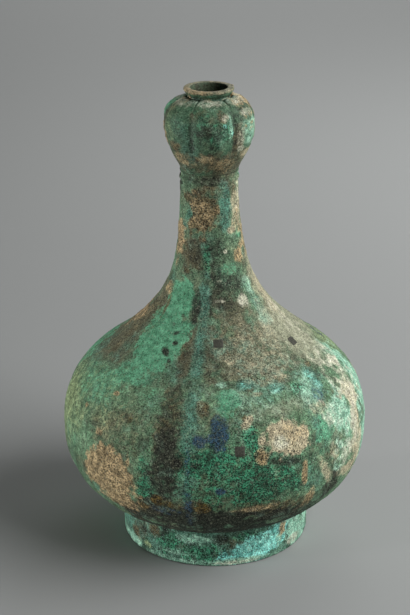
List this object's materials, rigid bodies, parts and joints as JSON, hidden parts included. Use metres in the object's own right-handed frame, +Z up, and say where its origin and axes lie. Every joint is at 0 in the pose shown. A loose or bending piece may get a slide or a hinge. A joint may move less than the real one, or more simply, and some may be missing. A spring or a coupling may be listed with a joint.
{
  "type": "garlic head bottle vase",
  "caption": "Cast bronze bottle vase with a ring foot, round belly, long slender neck and a lobed garlic-bulb head around a small lipped mouth.",
  "frame": {"origin": "middle of the foot ring's ground face", "axes": "+Z up along the axis of the bottle, -Y towards the front that the picture shows"},
  "size_m": [0.237, 0.237, 0.36],
  "materials": {
    "foot_bronze": "bronze under a mint and dark green corrosion crust, matte",
    "floor_bronze": "bronze under a dull green and brown crust, matte",
    "chaplet_bronze": "bronze of another alloy, dark brown, matte",
    "belly_bronze": "bronze under a mottled crust of green, olive, tan earth and blue, matte and gritty",
    "neck_bronze": "bronze under green corrosion with tan earth, matte and gritty",
    "head_bronze": "bronze under a smooth dark green patina with pale scale on its edges, matte"
  },
  "bodies": {
    "root": {"foot_ring": "foot_bronze", "floor_plate": "floor_bronze", "floor_chaplets": "chaplet_bronze", "lower_belly": "belly_bronze", "shoulder": "belly_bronze", "belly_chaplets": "chaplet_bronze", "neck": "neck_bronze", "neck_chaplets": "chaplet_bronze", "neck_band": "neck_bronze", "garlic_head": "head_bronze", "mouth_rim": "head_bronze"}
  },
  "joints": []
}
